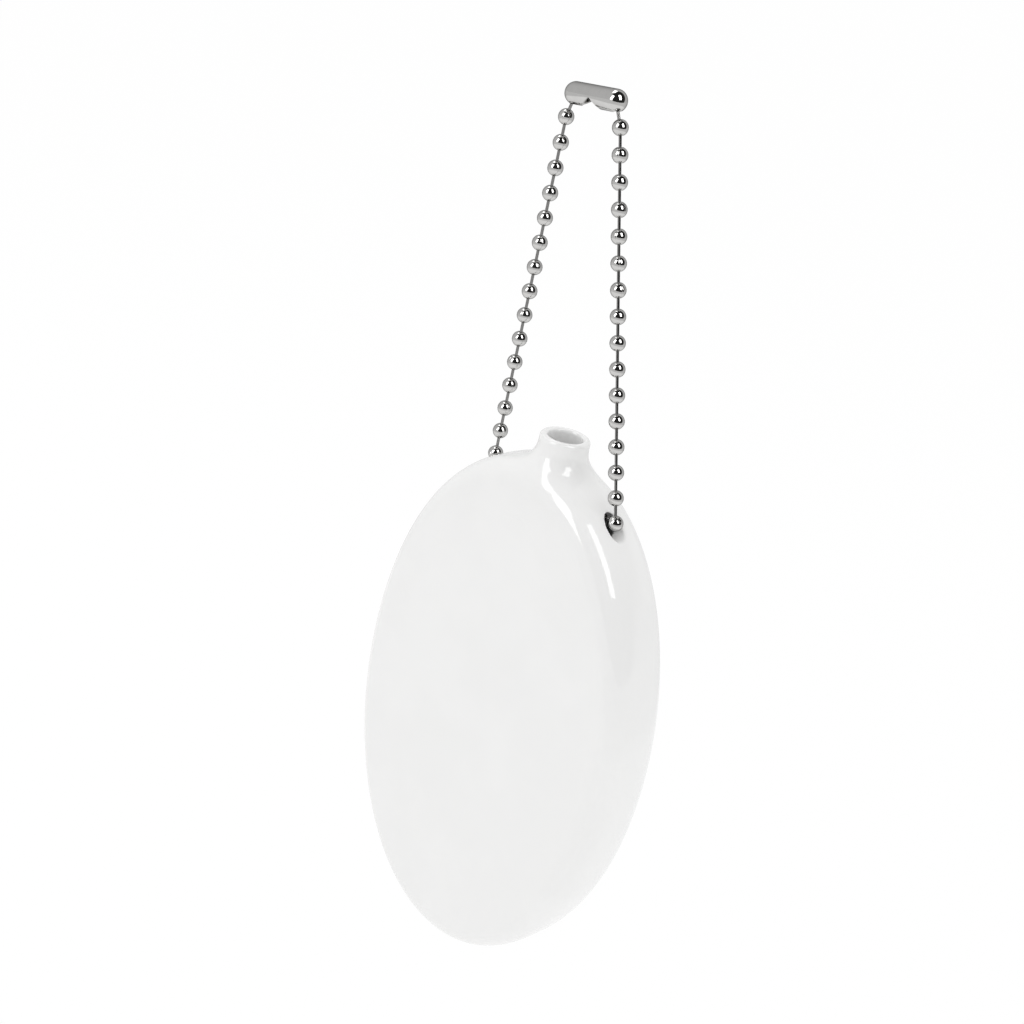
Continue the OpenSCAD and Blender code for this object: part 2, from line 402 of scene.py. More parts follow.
class Pouch:
    """The shape of the moulded pouch, with the rounding inside its neck, at its rim and at its holes."""
    inner_cove = 0.8 * MM
    rim_round = 0.6 * MM
    hole_round = 0.25 * MM

    def __init__(self):
        self.sizes = sizes = bpy.context.scene.purse_pouch
        self.length = POUCH_HIGH.z - POUCH_LOW.z - sizes.neck_height
        self.middle = Vector(((POUCH_LOW.x + POUCH_HIGH.x) / 2, (POUCH_LOW.y + POUCH_HIGH.y) / 2,
                              POUCH_LOW.z + self.length / 2))
        self.rim_z = self.length / 2 + sizes.neck_height
        self.hole_z = self.length / 2 - sizes.hole_drop

    def mouth_x(self):
        """How far the chain holes' mouths lie from the long axis."""
        return self.sizes.width / 2 * math.sqrt(1 - (2 * self.hole_z / self.length) ** 2)

    def oval(self, x, y, z, inset):
        """Distance to the oval, or to its inner face when inset is the wall."""
        s = self.sizes
        half_w, half_l, half_t = s.width / 2 - inset, self.length / 2 - inset, s.thickness / 2 - inset
        edge = s.edge - inset
        least = 0.5  # share of the full slope; nearer the middle the distance would run away
        u, w = abs(x) / half_w, abs(z) / half_l
        round_out = np.maximum((u ** s.outline_power + w ** s.outline_power) ** (1 / s.outline_power), TINY)
        slope = np.hypot((u / round_out) ** (s.outline_power - 1) / half_w,
                         (w / round_out) ** (s.outline_power - 1) / half_l)
        in_plane = (round_out - 1) / np.maximum(slope, least / half_l)
        a, b = np.maximum(in_plane + edge, 0) / edge, abs(y) / half_t
        over = np.maximum((a ** s.edge_power + b ** s.edge_power) ** (1 / s.edge_power), TINY)
        slope = np.hypot((a / over) ** (s.edge_power - 1) / edge, (b / over) ** (s.edge_power - 1) / half_t)
        return (over - 1) / np.maximum(slope, least / half_t)

    def neck(self, x, y, z):
        """Distance to the neck, with a rounded rim."""
        s = self.sizes
        rim = (s.neck_width - s.neck_bore) / 4
        across = np.hypot(x, y) - (s.neck_width / 2 - rim)
        above = z - (self.rim_z - rim)
        blank = (np.hypot(np.maximum(across, 0), np.maximum(above, 0))
                 + np.minimum(np.maximum(across, above), 0) - rim)
        return np.maximum(blank, self.length / 2 - s.thickness / 2 - z)

    def __call__(self, x, y, z):
        """Distance to the whole skin, which is less than 0 inside the vinyl."""
        s = self.sizes
        outside = smooth_min(self.oval(x, y, z, 0), self.neck(x, y, z), s.cove)
        bore = np.maximum(np.hypot(x, y) - s.neck_bore / 2, -z)
        hollow = smooth_min(self.oval(x, y, z, s.wall), bore, self.inner_cove)
        solid = smooth_max(outside, -hollow, self.rim_round)
        hole = np.hypot(y, z - self.hole_z) - s.hole_width / 2
        return smooth_max(solid, -hole, self.hole_round)


def slopes(form, points):
    """The form's gradient at each point."""
    step = 0.002 * MM
    found = np.empty_like(points)
    for axis in range(3):
        ahead, behind = points.copy(), points.copy()
        ahead[:, axis] += step
        behind[:, axis] -= step
        found[:, axis] = (form(*ahead.T) - form(*behind.T)) / (2 * step)
    return found


def skin_net(form, axes, passes=4, least_slope=0.1, longest_move=0.2 * MM):
    """The corners and quads of a form's skin on a grid, with the corners moved onto it in a few passes."""
    value = form(*np.meshgrid(*axes, indexing="ij"))
    cells = tuple(len(axis) - 1 for axis in axes)
    quads, owners, spots = [], [], []
    for along in range(3):
        low = np.take(value, np.arange(cells[along]), axis=along)
        high = np.take(value, np.arange(1, cells[along] + 1), axis=along)
        crossed = (low < 0) != (high < 0)
        at = np.argwhere(crossed)
        low, high = low[crossed], high[crossed]
        spot = np.stack([axes[k][at[:, k]] for k in range(3)], axis=1)
        line = axes[along]
        spot[:, along] += low / (low - high) * (line[at[:, along] + 1] - line[at[:, along]])
        ring = []
        for right, above in ((-1, -1), (0, -1), (0, 0), (-1, 0)):
            cell = at.copy()
            cell[:, (along + 1) % 3] += right
            cell[:, (along + 2) % 3] += above
            ring.append(np.ravel_multi_index(cell.T, cells))
            owners.append(ring[-1])
            spots.append(spot)
        ring = np.array(ring)
        quads.append(np.where(low < 0, ring, ring[::-1]).T)
    names, index = np.unique(np.concatenate(owners), return_inverse=True)
    spots = np.concatenate(spots)
    counts = np.bincount(index)
    points = np.stack([np.bincount(index, spots[:, k]) / counts for k in range(3)], axis=1)
    for _ in range(passes):
        slope = slopes(form, points)
        move = (form(*points.T) / np.maximum((slope ** 2).sum(axis=1), least_slope))[:, None] * slope
        points -= np.clip(move, -longest_move, longest_move)
    return points, np.searchsorted(names, np.concatenate(quads))


def steps(*stretches):
    """Grid lines through stretches of (start, end, largest step), each beginning where the last one ends."""
    lines = [np.linspace(start, end, math.ceil((end - start) / step) + 1)[:-1]
             for start, end, step in stretches]
    return np.append(np.concatenate(lines), stretches[-1][1])


def pouch_grid(pouch):
    """Grid lines across, through and along the pouch, close together where its skin bends most."""
    s = pouch.sizes
    fine, middling, coarse = 0.25 * MM, 0.4 * MM, 0.8 * MM
    through_step, foot_step, belly_step = 0.3 * MM, 0.6 * MM, 0.9 * MM
    margin = 0.6 * MM
    side = s.width / 2 + CLEAR
    neck = s.neck_width / 2 + s.cove
    mouth_from, mouth_to = pouch.mouth_x() - 4 * MM, pouch.mouth_x() + 3 * MM
    right = [(0, neck, fine), (neck, mouth_from, middling), (mouth_from, mouth_to, fine),
             (mouth_to, side, coarse)]
    left = [(-end, -start, step) for start, end, step in reversed(right)]
    across = steps(*left, *right)
    deep = s.thickness / 2 + margin
    through = steps((-deep, deep, through_step))
    foot = -pouch.length / 2 - CLEAR
    belly = foot + 12 * MM
    shoulder, top = pouch.hole_z - 4 * MM, pouch.rim_z + margin
    along = steps((foot, belly, foot_step), (belly, shoulder, belly_step), (shoulder, top, fine))
    return across, through, along


class Window:
    """The part of the back that the two lips fill."""

    def __init__(self, pouch):
        lips = bpy.context.scene.purse_lips
        self.half_w = lips.width
        self.high = pouch.length / 2 - lips.from_top
        self.low = lips.from_foot - pouch.length / 2
        self.back = pouch.sizes.thickness / 2
        self.front = self.back - pouch.sizes.wall

    def cut(self, mesh):
        """Cuts the window out of the back wall and closes the wall round it."""
        inside_wall = self.front - CLEAR
        across, along = (1, 0, 0), (0, 0, 1)
        for spot, way in (((self.half_w, 0, 0), across), ((-self.half_w, 0, 0), across),
                          ((0, 0, self.high), along), ((0, 0, self.low), along)):
            faces = [f for f in mesh.faces if f.calc_center_median().y > inside_wall]
            near = set(faces)
            near.update(v for f in faces for v in f.verts)
            near.update(e for f in faces for e in f.edges)
            bmesh.ops.bisect_plane(mesh, geom=list(near), dist=WELD, plane_co=spot, plane_no=way)
        gone = []
        for face in mesh.faces:
            middle = face.calc_center_median()
            if middle.y > inside_wall and abs(middle.x) < self.half_w and self.low < middle.z < self.high:
                gone.append(face)
        bmesh.ops.delete(mesh, geom=gone, context="FACES")
        border = [e for e in mesh.edges if e.is_boundary]
        return bmesh.ops.bridge_loops(mesh, edges=border)["faces"]


class PURSE_OT_pouch(Operator):
    """The hollow vinyl pouch with its neck, its chain holes and the window for its lips"""
    bl_idname = "purse.pouch"
    bl_label = "Pouch"

    def execute(self, context):
        pouch = Pouch()
        points, quads = skin_net(pouch, pouch_grid(pouch))
        draft = bpy.data.meshes.new("pouch_skin")
        draft.from_pydata(points.tolist(), [], quads.tolist())
        mesh = bmesh.new()
        mesh.from_mesh(draft)
        walls = set(Window(pouch).cut(mesh))
        for face in mesh.faces:
            face.smooth = True
        mesh.faces.index_update()
        flat = [face.index for face in walls]
        mesh.to_mesh(draft)
        mesh.free()
        skin_normals(draft, pouch, flat)
        draft.transform(Matrix.Translation(pouch.middle))
        skin = finished(new_object("pouch_skin", draft), "vinyl")
        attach(skin, "pouch")
        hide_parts("pouch_shell")
        return {"FINISHED"}


def skin_normals(mesh, form, flat):
    """Gives each corner the form's own normal, and the corners of flat faces their face's."""
    points = np.empty(len(mesh.vertices) * 3)
    mesh.vertices.foreach_get("co", points)
    slope = slopes(form, points.reshape(-1, 3))
    slope /= np.maximum(np.linalg.norm(slope, axis=1), TINY)[:, None]
    corner = np.empty(len(mesh.loops), dtype=int)
    mesh.loops.foreach_get("vertex_index", corner)
    normals = slope[corner]
    for index in flat:
        face = mesh.polygons[index]
        normals[list(face.loop_indices)] = face.normal
    mesh.normals_split_custom_set(normals.tolist())


# The two lips, each a stack of strips

class Lips:
    """The lips' shape, and how far the slit's closed ends hold each height back: not at all at 0, fully at 1.
    """
    strips = 6
    rows = 8
    columns = 22
    round_steps = 4
    crease = math.radians(40)

    def __init__(self, pouch):
        self.window = Window(pouch)
        self.sizes = bpy.context.scene.purse_lips
        self.middle_z = (self.window.high + self.window.low) / 2
        self.half_l = (self.window.high - self.window.low) / 2

    def edges(self):
        """The heights between which the strips lie."""
        return np.linspace(self.window.low, self.window.high, self.strips + 1)

    def held(self, z):
        """How far the slit's closed ends hold a lip back at a height."""
        return ((z - self.middle_z) / self.half_l) ** 2

    def outline(self):
        """Pairs of points (x, y) across a lip, on its outer and its inner face, from its bend to the slit."""
        edge, wide = self.sizes.round_edge, self.sizes.width - self.sizes.slit / 2
        back, front = self.window.back, self.window.front
        flat = [(x, back, front) for x in np.linspace(0, wide - edge, self.columns)]
        turns = np.linspace(0, math.pi / 2, self.round_steps + 1)[1:]
        bent = [(wide - edge + edge * math.sin(a), back - edge + edge * math.cos(a),
                 front + edge - edge * math.cos(a)) for a in turns]
        return flat + bent

    def strip(self, name, side, low, high):
        """One strip of the lip on a side, from one height to another."""
        half_w = self.window.half_w
        across = self.outline()
        mesh = bmesh.new()
        rings = []
        for z in np.linspace(low, high, self.rows + 1):
            outer = [mesh.verts.new((side * (half_w - x), back, z)) for x, back, front in across]
            inner = [mesh.verts.new((side * (half_w - x), front, z)) for x, back, front in across]
            rings.append((outer, inner))
        for (outer, inner), (outer_up, inner_up) in zip(rings, rings[1:]):
            for face in ring_of_faces(mesh, outer + inner[::-1], outer_up + inner_up[::-1]):
                face.smooth = True
        for outer, inner in (rings[0], rings[-1]):
            for i in range(len(outer) - 1):
                mesh.faces.new((outer[i], outer[i + 1], inner[i + 1], inner[i]))
        made = closed_mesh(name, mesh)
        made.set_sharp_from_angle(angle=self.crease)
        return made

    def bend(self, side, low, high):
        """Two points that mark a line across a strip, from how far the slit's ends hold back its lower and
        upper edges.
        """
        half_w = self.window.half_w
        rise = (self.held(low) - self.held(high)) / (high - low)
        slope = Vector((-side / half_w, 0, rise))
        start = Vector((side * half_w * (1 - self.held(low)), 0, low))
        return start, start + slope / slope.length_squared


class PURSE_OT_lips(Operator):
    """The two lips beside the slit in the back, each built as a stack of strips; the real lips bend out when
    the ends are squeezed
    """
    bl_idname = "purse.lips"
    bl_label = "Lips"

    def execute(self, context):
        pouch = Pouch()
        lips = Lips(pouch)
        edges = lips.edges()
        for name, side in (("lip_left", -1), ("lip_right", 1)):
            for i, (low, high) in enumerate(zip(edges, edges[1:])):
                mesh = lips.strip(f"{name}_{i + 1}", side, low, high)
                mesh.transform(Matrix.Translation(pouch.middle))
                strip = finished(new_object(mesh.name, mesh), "vinyl")
                start, end = lips.bend(side, low, high)
                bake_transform(strip)
                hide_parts(name)
        return {"FINISHED"}


# The ball chain

def ball_middle(points, outermost=0.93):
    """The middle of the ball that the points past this share of its radius lie on."""
    middle = (points.min(axis=0) + points.max(axis=0)) / 2
    reach = np.linalg.norm(points - middle, axis=1)
    outer = points[reach > outermost * reach.max()]
    sums = np.linalg.lstsq(np.c_[2 * outer, np.ones(len(outer))], (outer ** 2).sum(axis=1), rcond=None)[0]
    return sums[:3]


def beads_of(node):
    """The middles of a node's beads, from left to right."""
    apart = 0.3 * MM
    points = node_points(node)
    points = points[points[:, 0].argsort()]
    gaps = np.flatnonzero(np.diff(points[:, 0]) > apart) + 1
    return [ball_middle(part) for part in np.split(points, gaps)]


class Chain:
    """The chain's beads in order, from the connector down the left, through the pouch and up the right."""

    def __init__(self):
        left, right = [[bead] for bead in beads_of("end_beads")]
        for i in range(1, len(CHAIN_BODIES) + 1):
            bead_left, bead_right = beads_of(f"beads_{i:02}")
            left.append(bead_left)
            right.append(bead_right)
        right.append(beads_of(f"bead_{len(right)}")[0])
        crossing = beads_of("crossing_beads")
        self.beads = np.array(left + crossing + right[::-1])
        self.bodies = {"crossing": range(len(left), len(left) + len(crossing) + 1)}
        self.links = {"crossing": range(len(left) - 1, len(left) + len(crossing) + 1)}
        last = len(self.beads) - 1
        for i, body in enumerate(CHAIN_BODIES, start=1):
            self.bodies[body] = [i, last - i]
            self.links[body] = [i - 1, last - i]
        self.bodies[CHAIN_BODIES[0]] += [0, last]

    def way(self, i):
        """The direction of the chain through a bead."""
        ahead, behind = self.beads[min(i + 1, len(self.beads) - 1)], self.beads[max(i - 1, 0)]
        return (ahead - behind) / np.linalg.norm(ahead - behind)

    def skeleton(self, body):
        """A mesh with an edge for each of a body's links and its beads' directions."""
        linked = sorted({i for link in self.links[body] for i in (link, link + 1)})
        place = {bead: at for at, bead in enumerate(linked)}
        mesh = bpy.data.meshes.new("chain_" + body)
        mesh.from_pydata([tuple(self.beads[i]) for i in linked],
                         [(place[i], place[i + 1]) for i in self.links[body]], [])
        own = mesh.attributes.new("own_bead", "BOOLEAN", "POINT")
        own.data.foreach_set("value", [i in self.bodies[body] for i in linked])
        way = mesh.attributes.new("way", "FLOAT_VECTOR", "POINT")
        way.data.foreach_set("vector", np.array([self.way(i) for i in linked], dtype=np.float32).ravel())
        return mesh


BEAD_COLUMNS = 44
BEAD_ROWS = 30
LINK_RINGS = 48
LINK_SIDES = 14

# A bead's place gives the number that its turn is drawn by
NUMBER_BY_X = 7000.0
NUMBER_BY_Z = 11000.0
TURN_SEED = 7


def bead_form(kit, group):
    """A hollow bead with rounded holes at its poles and a rolled seam: a grid rolled up both ways."""
    gather = 0.8  # how far the columns close up at the seam
    squareness = 3.0  # how square the sheet's rims are
    narrowness = 800.0  # how narrow the seam is
    sheet = kit.add("GeometryNodeMeshGrid", {}, {
        "Size X": 1.0, "Size Y": 1.0, "Vertices X": BEAD_COLUMNS + 1, "Vertices Y": BEAD_ROWS + 1})
    spot = kit.add("ShaderNodeSeparateXYZ", {}, {0: kit.add("GeometryNodeInputPosition")})
    round_it = (spot.out("X") + 0.5) * TAU
    turn = round_it - gather * kit.math("SINE", round_it)
    band = (spot.out("Y") + 0.5) * TAU
    radius = group.out("Bead") * 0.5
    half_span = math.pi / 2 - kit.math("ARCSINE", group.out("Bead hole") * 0.5 / radius)
    polar = math.pi / 2 - half_span * kit.math("COSINE", band)
    skin = kit.math("MINIMUM", kit.math("MAXIMUM", squareness * kit.math("SINE", band), -1.0), 1.0)
    groove = kit.math("EXPONENT", (kit.math("COSINE", turn) - 1.0) * narrowness)
    reach = radius - 0.5 * group.out("Bead sheet") * (1.0 - skin)
    reach = reach - group.out("Seam") * groove * kit.math("MAXIMUM", skin, 0.0)
    level = reach * kit.math("SINE", polar)
    place = kit.add("ShaderNodeCombineXYZ", {}, {
        "X": level * kit.math("COSINE", turn),
        "Y": level * kit.math("SINE", turn),
        "Z": reach * kit.math("COSINE", polar)})
    bent = kit.add("GeometryNodeSetPosition", {}, {"Geometry": sheet, "Position": place})
    closed = kit.add("GeometryNodeMergeByDistance", {}, {"Geometry": bent, "Distance": WELD})
    return kit.add("GeometryNodeFlipFaces", {}, {"Mesh": closed})


def link_form(kit, group):
    """A wire from bead to bead, with a round head inside each."""
    apart = kit.add("GeometryNodeSplitEdges", {}, {"Mesh": group.out("Chain")})
    lines = kit.add("GeometryNodeMeshToCurve", {}, {"Mesh": apart})
    whole = kit.add("GeometryNodeSplineLength")
    head = group.out("Head") * 0.5
    start = group.out("Head place") - head
    trimmed = kit.add("GeometryNodeTrimCurve", {"mode": "LENGTH"}, {
        "Curve": lines, "Start": start, "End": whole - start})
    rings = kit.add("GeometryNodeResampleCurve", {}, {"Curve": trimmed, "Count": LINK_RINGS})
    along = kit.add("GeometryNodeSplineParameter").out("Length")
    end = kit.math("MINIMUM", along, whole - along)
    bulge = kit.math("SQRT", kit.math("MAXIMUM", head * head - (end - head) * (end - head), 0.0))
    past_head = 1.0 - kit.math("LESS_THAN", end, head)
    thick = kit.math("MAXIMUM", bulge, group.out("Wire") * 0.5 * past_head)
    section = kit.add("GeometryNodeCurvePrimitiveCircle", {}, {"Resolution": LINK_SIDES, "Radius": 1.0})
    return kit.add("GeometryNodeCurveToMesh", {}, {
        "Curve": rings, "Profile Curve": section, "Scale": thick, "Fill Caps": True})


def chain_tree():
    """The node tree that turns a skeleton of the chain into its beads and links."""
    tree = bpy.data.node_groups.new("ball_chain", "GeometryNodeTree")
    tree.is_modifier = True
    sizes = ("Bead", "Bead hole", "Bead sheet", "Seam", "Wire", "Head", "Head place")
    inputs = {"Chain": "Geometry", **dict.fromkeys(sizes, "Float"), "Material": "Material"}
    for name, kind in inputs.items():
        tree.interface.new_socket(name, in_out="INPUT", socket_type="NodeSocket" + kind)
    tree.interface.new_socket("Chain", in_out="OUTPUT", socket_type="NodeSocketGeometry")
    kit = Kit(tree)
    group = kit.add("NodeGroupInput")
    own = kit.add("GeometryNodeInputNamedAttribute", {"data_type": "BOOLEAN"}, {"Name": "own_bead"})
    way = kit.add("GeometryNodeInputNamedAttribute", {"data_type": "FLOAT_VECTOR"}, {"Name": "way"})
    aim = kit.add("FunctionNodeAlignRotationToVector", {"axis": "Z"}, {"Vector": way})
    where = kit.add("ShaderNodeSeparateXYZ", {}, {0: kit.add("GeometryNodeInputPosition")})
    number = kit.math("ABSOLUTE", where.out("X") * NUMBER_BY_X + where.out("Z") * NUMBER_BY_Z)
    spin = kit.add("FunctionNodeRandomValue", {"data_type": "FLOAT"}, {
        "Max": TAU, "ID": kit.math("ROUND", number), "Seed": TURN_SEED})
    turn = kit.add("ShaderNodeCombineXYZ", {}, {"Z": spin})
    turned = kit.add("FunctionNodeEulerToRotation", {}, {"Euler": turn})
    pose = kit.add("FunctionNodeRotateRotation", {"rotation_space": "LOCAL"}, {
        "Rotation": aim, "Rotate By": turned})
    beads = kit.add("GeometryNodeInstanceOnPoints", {}, {
        "Points": group.out("Chain"), "Selection": own, "Instance": bead_form(kit, group), "Rotation": pose})
    wires = kit.add("GeometryNodeStoreNamedAttribute", {"data_type": "FLOAT", "domain": "POINT"}, {
        "Geometry": link_form(kit, group), "Name": WIRE, "Value": 1.0})
    both = kit.add("GeometryNodeJoinGeometry", {}, {"Geometry": [beads, wires]})
    real = kit.add("GeometryNodeRealizeInstances", {}, {"Geometry": both})
    smooth = kit.add("GeometryNodeSetShadeSmooth", {}, {"Geometry": real})
    plated = kit.add("GeometryNodeSetMaterial", {}, {"Geometry": smooth, "Material": group.out("Material")})
    kit.add("NodeGroupOutput", {}, {"Chain": plated})
    return tree


class PURSE_OT_chain(Operator):
    """The ball chain: the beads and link wires of each level, and those inside the pouch"""
    bl_idname = "purse.chain"
    bl_label = "Ball chain"

    def execute(self, context):
        sizes = context.scene.purse_chain
        chain = Chain()
        tree = chain_tree()
        values = {"Bead": sizes.bead, "Bead hole": sizes.hole, "Bead sheet": sizes.sheet, "Seam": sizes.seam,
                  "Wire": sizes.wire, "Head": sizes.head, "Head place": sizes.head_in,
                  "Material": finish_of("nickel")}
        for body in CHAIN_BODIES + ["crossing"]:
            piece = new_object("chain_" + body, chain.skeleton(body))
            maker = piece.modifiers.new("ball_chain", "NODES")
            maker.node_group = tree
            for socket in tree.interface.items_tree:
                if socket.in_out == "INPUT" and socket.name in values:
                    maker[socket.identifier] = values[socket.name]
            finished(settled_mesh(piece), "nickel")
            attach(piece, body)
            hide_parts(*frame["record"]["behaviour"]["bodies"][body])
        return {"FINISHED"}


# The connector

def barrel_mesh(radius, half_l, columns=72, rows=14):
    """A closed round-ended barrel along X, with its ends' middles half_l from its own."""
    mesh = bmesh.new()
    turns = [math.pi / 2 * i / rows for i in range(1, rows + 1)]
    section = [(-half_l - radius * math.cos(a), radius * math.sin(a)) for a in turns]
    section += [(half_l + radius * math.cos(a), radius * math.sin(a)) for a in reversed(turns)]
    tips = [mesh.verts.new((side * (half_l + radius), 0, 0)) for side in (-1, 1)]
    rings = []
    for x, r in section:
        rings.append([mesh.verts.new((x, r * math.cos(TAU * i / columns), r * math.sin(TAU * i / columns)))
                      for i in range(columns)])
    for i in range(columns):
        j = (i + 1) % columns
        mesh.faces.new((tips[0], rings[0][i], rings[0][j]))
        mesh.faces.new((tips[1], rings[-1][j], rings[-1][i]))
        for ring, after in zip(rings, rings[1:]):
            mesh.faces.new((ring[i], after[i], after[j], ring[j]))
    return closed_mesh("barrel", mesh)


def prism_mesh(corners, near, far):
    """A prism along Y over corners (x, z), from near to far."""
    mesh = bmesh.new()
    front = [mesh.verts.new((x, near, z)) for x, z in corners]
    back = [mesh.verts.new((x, far, z)) for x, z in corners]
    mesh.faces.new(front)
    mesh.faces.new(back)
    ring_of_faces(mesh, front, back)
    return closed_mesh("prism", mesh)


def rod_mesh(radius, length, columns=48):
    """A rod up Z from the origin."""
    mesh = bmesh.new()
    bmesh.ops.create_cone(mesh, cap_ends=True, segments=columns, radius1=radius, radius2=radius, depth=length,
                          matrix=Matrix.Translation((0, 0, length / 2)))
    return closed_mesh("rod", mesh)


class PURSE_OT_connector(Operator):
    """The rolled connector with its slot, entry hole and notched underside"""
    bl_idname = "purse.connector"
    bl_label = "Connector"
    broken = math.radians(35)
    crease = math.radians(50)

    def execute(self, context):
        sizes = context.scene.purse_connector
        bead = context.scene.purse_chain.bead
        left, right = [Vector(end) for end in beads_of("end_beads")]
        half_l = (right - left).length / 2
        outer_r = self.outer_radius() + sizes.proud
        inner_r = outer_r - sizes.sheet
        below = -outer_r - CLEAR
        slot_l = half_l + bead / 2
        slot = [(-slot_l, 0), (slot_l, 0), (slot_l, below), (-slot_l, below)]
        entry = rod_mesh(sizes.entry / 2, 2 * outer_r)
        entry.transform(Matrix.Translation((0, 0, -2 * outer_r)))
        near = self.notch(sizes.near_notch_width, sizes.near_notch_depth, outer_r, below)
        far = self.notch(sizes.far_notch_width, sizes.far_notch_depth, outer_r, below)
        cutters = [barrel_mesh(inner_r, half_l), entry, prism_mesh(slot, -sizes.slot / 2, sizes.slot / 2),
                   prism_mesh(near, below, 0), prism_mesh(far, 0, -below)]
        piece = new_object("connector_barrel", barrel_mesh(outer_r, half_l))
        helpers = []
        for i, mesh in enumerate(cutters):
            helper = new_object(f"cutter_{i}", mesh)
            helpers.append(helper)
            cut = piece.modifiers.new("cut", "BOOLEAN")
            cut.operation = "DIFFERENCE"
            cut.solver = "EXACT"
            cut.object = helper
        edge = piece.modifiers.new("edge", "BEVEL")
        edge.width = sizes.bevel
        edge.segments = 2
        edge.limit_method = "ANGLE"
        edge.angle_limit = self.broken
        finished(settled_mesh(piece), "nickel")
        for helper in helpers:
            bpy.data.objects.remove(helper)
        for face in piece.data.polygons:
            face.use_smooth = True
        piece.data.set_sharp_from_angle(angle=self.crease)
        lean = (right - left).to_track_quat("X", "Z").to_matrix().to_4x4()
        piece.data.transform(Matrix.Translation((left + right) / 2) @ lean)
        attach(piece, "connector")
        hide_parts("connector")
        return {"FINISHED"}

    def notch(self, width, depth, outer_r, below):
        """Corners (x, z) of a notch up from the underside, with a rounded top."""
        round_r = bpy.context.scene.purse_connector.notch_round
        middle = depth - outer_r - round_r
        turns = [math.radians(turn) for turn in (140, 120, 100, 80, 60, 40)]
        arch = [(round_r * math.cos(a), middle + round_r * math.sin(a)) for a in turns]
        return [(-width / 2, -outer_r), *arch, (width / 2, -outer_r), (width / 2, below), (-width / 2, below)]

    def outer_radius(self):
        """Half the connector's thickness, from its CAD solid."""
        low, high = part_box("connector")
        return (high.y - low.y) / 2


# Floor, lamps, world and camera

# Places round the object, as a mirror ball in the middle of the view shows them: (across, above)
UNLIT_SIDE = (0.2, 0.15)
CARD_PLACES = {"card_left": (-0.34, 0.22), "card_right": (0.30, 0.20)}
SOFTBOX_PLACE = (-0.08, 0.66)

# The unlit side is dark up to the first of these angles from its middle, and ends at the second
UNLIT_FULL = math.radians(62)
UNLIT_END = math.radians(72)

# Widths and heights of the lamps, and how far off they stand, in metres
CARD_SIZE = (0.22, 0.44)
SOFTBOX_SIZE = (0.30, 0.24)
LAMP_DISTANCE = 0.6

FLOOR_REACH = 6
SENSOR_WIDTH = 36
WHITE = (1, 1, 1, 1)


class View:
    """The photograph's camera."""

    def __init__(self, pouch):
        view = bpy.context.scene.purse_view
        az, el, roll = view.azimuth, view.elevation, view.roll
        self.back = Vector((math.sin(az) * math.cos(el), -math.cos(az) * math.cos(el), math.sin(el)))
        right = Vector((math.cos(az), math.sin(az), 0))
        up = self.back.cross(right)
        self.eye = pouch.middle + self.back * view.distance + right * view.aside + up * view.above
        self.right = right * math.cos(roll) + up * math.sin(roll)
        self.up = up * math.cos(roll) - right * math.sin(roll)

    def toward(self, across, above):
        """Where a mirror ball in the middle of the view shows a place: (0, 0) is the camera itself."""
        normal = self.right * across + self.up * above
        normal += self.back * math.sqrt(1 - normal.length_squared)
        return 2 * normal.dot(self.back) * normal - self.back


def floor_material(studio):
    """White floor: its white shows to the camera and in reflections, and the object's shadow stays on it."""
    fade = 1.3  # the lit floor has faded out at this many times its radius
    glow_share = 0.92  # the rest is paint, which takes the shadow
    material, kit = new_material("floor")
    path = kit.add("ShaderNodeLightPath")
    camera = path.out("Is Camera Ray")
    seen = kit.math("MAXIMUM", camera, path.out("Is Glossy Ray"))
    seen = kit.math("MAXIMUM", seen, path.out("Is Transmission Ray"))
    place = kit.add("ShaderNodeTexCoord").out("Object")
    away = kit.add("ShaderNodeVectorMath", {"operation": "LENGTH"}, {0: place}).out("Value")
    unlit = kit.smooth(away, studio.lit_floor, fade * studio.lit_floor)
    mirrored = 1 + (studio.far_floor - 1) * unlit
    paint = kit.add("ShaderNodeBsdfDiffuse", {}, {"Color": WHITE})
    glow = kit.add("ShaderNodeEmission", {}, {"Color": WHITE, "Strength": camera + (1 - camera) * mirrored})
    surface = kit.add("ShaderNodeMixShader", {}, {0: seen * glow_share, 1: paint, 2: glow})
    kit.add("ShaderNodeOutputMaterial", {}, {"Surface": surface})
    return material


def room_world(studio, view):
    """Even light all round; reflections see a grey room with one unlit side, and the camera sees white."""
    world = bpy.data.worlds.new("studio")
    world.use_nodes = True
    kit = Kit(world.node_tree)
    path = kit.add("ShaderNodeLightPath")
    camera, glossy = path.out("Is Camera Ray"), path.out("Is Glossy Ray")
    way = kit.add("ShaderNodeTexCoord").out("Generated")
    unlit = tuple(view.toward(*UNLIT_SIDE))
    facing = kit.add("ShaderNodeVectorMath", {"operation": "DOT_PRODUCT"}, {0: way, 1: unlit}).out("Value")
    shade = kit.smooth(facing, math.cos(UNLIT_END), math.cos(UNLIT_FULL))
    mirrored = studio.room + (studio.dark - studio.room) * shade
    level = camera + glossy * mirrored + (1 - camera) * (1 - glossy) * studio.fill
    light = kit.add("ShaderNodeBackground", {}, {"Color": WHITE, "Strength": level})
    kit.add("ShaderNodeOutputWorld", {}, {"Surface": light})
    return world


def softbox(name, aim, way, size, brightness):
    """A rectangular lamp that faces a point, from LAMP_DISTANCE along a way."""
    width, height = size
    lamp = bpy.data.lights.new(name, "AREA")
    lamp.shape = "RECTANGLE"
    lamp.size = width
    lamp.size_y = height
    lamp.energy = brightness * math.pi * width * height
    box = new_object(name, lamp)
    turn = way.to_track_quat("Z", "Y").to_matrix().to_4x4()
    box.matrix_world = Matrix.Translation(aim + way * LAMP_DISTANCE) @ turn
    return box


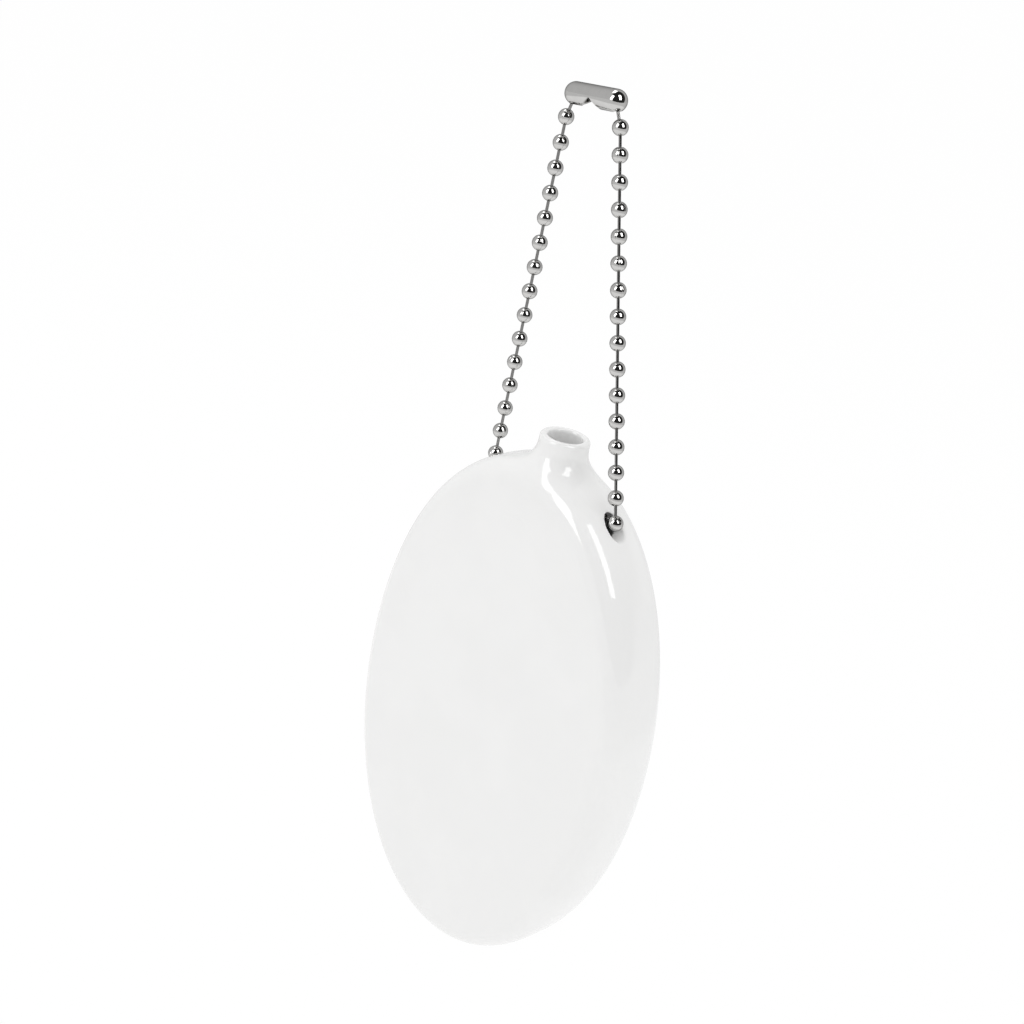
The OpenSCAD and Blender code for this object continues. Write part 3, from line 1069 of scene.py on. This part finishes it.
class PURSE_OT_stage(Operator):
    """The floor, the softbox, the two cards, the world and the camera"""
    bl_idname = "purse.stage"
    bl_label = "Stage"

    def execute(self, context):
        scene = context.scene
        scene.view_settings.view_transform = "Standard"
        studio = scene.purse_studio
        pouch = Pouch()
        view = View(pouch)
        self.floor(studio)
        scene.world = room_world(studio, view)
        aim = pouch.middle + Vector((0, 0, pouch.length / 2))
        for name, place in CARD_PLACES.items():
            card = softbox(name, aim, view.toward(*place), CARD_SIZE, studio.card)
            card.visible_diffuse = False
        softbox("softbox", aim, view.toward(*SOFTBOX_PLACE), SOFTBOX_SIZE, studio.softbox)
        camera = new_object("camera", bpy.data.cameras.new("camera"))
        camera.data.sensor_width = SENSOR_WIDTH
        camera.data.lens = scene.purse_view.lens
        camera.data.clip_start = 10 * MM
        turn = Matrix((view.right, view.up, view.back)).transposed().to_4x4()
        camera.matrix_world = Matrix.Translation(view.eye) @ turn
        scene.camera = camera
        return {"FINISHED"}

    def floor(self, studio):
        """One square face, well below the pouch."""
        level = POUCH_LOW.z - studio.floor_drop
        ways = ((-1, -1), (1, -1), (1, 1), (-1, 1))
        mesh = bpy.data.meshes.new("floor")
        mesh.from_pydata([(x * FLOOR_REACH, y * FLOOR_REACH, level) for x, y in ways], [], [(0, 1, 2, 3)])
        mesh.materials.append(floor_material(studio))
        return new_object("floor", mesh)


class PURSE_PT_panel(Panel):
    """The purse's steps in the sidebar"""
    bl_label = "Squeeze coin purse"
    bl_idname = "PURSE_PT_panel"
    bl_space_type = "VIEW_3D"
    bl_region_type = "UI"
    bl_category = "Purse"

    def draw(self, context):
        for operator in OPERATORS:
            self.layout.operator(operator.bl_idname)
        for setting in SETTINGS:
            box = self.layout.box()
            box.label(text=setting.replace("purse_", "").capitalize())
            group = getattr(context.scene, setting)
            for name in group.__annotations__:
                box.prop(group, name)


SETTINGS = {
    "purse_pouch": PouchSizes,
    "purse_lips": LipSizes,
    "purse_chain": ChainSizes,
    "purse_connector": ConnectorSizes,
    "purse_finish": Finish,
    "purse_view": PhotoView,
    "purse_studio": Studio,
}
OPERATORS = (PURSE_OT_stage, PURSE_OT_pouch, PURSE_OT_lips, PURSE_OT_chain, PURSE_OT_connector)


def register():
    for kind in (*SETTINGS.values(), *OPERATORS, PURSE_PT_panel):
        bpy.utils.register_class(kind)
    for name, kind in SETTINGS.items():
        setattr(bpy.types.Scene, name, PointerProperty(type=kind))


def unregister():
    for name in SETTINGS:
        delattr(bpy.types.Scene, name)
    for kind in reversed((*SETTINGS.values(), *OPERATORS, PURSE_PT_panel)):
        bpy.utils.unregister_class(kind)


def main():
    register()
    bpy.ops.purse.stage()
    bpy.ops.purse.pouch()
    bpy.ops.purse.lips()
    bpy.ops.purse.chain()
    bpy.ops.purse.connector()


if __name__ == "__main__":
    main()
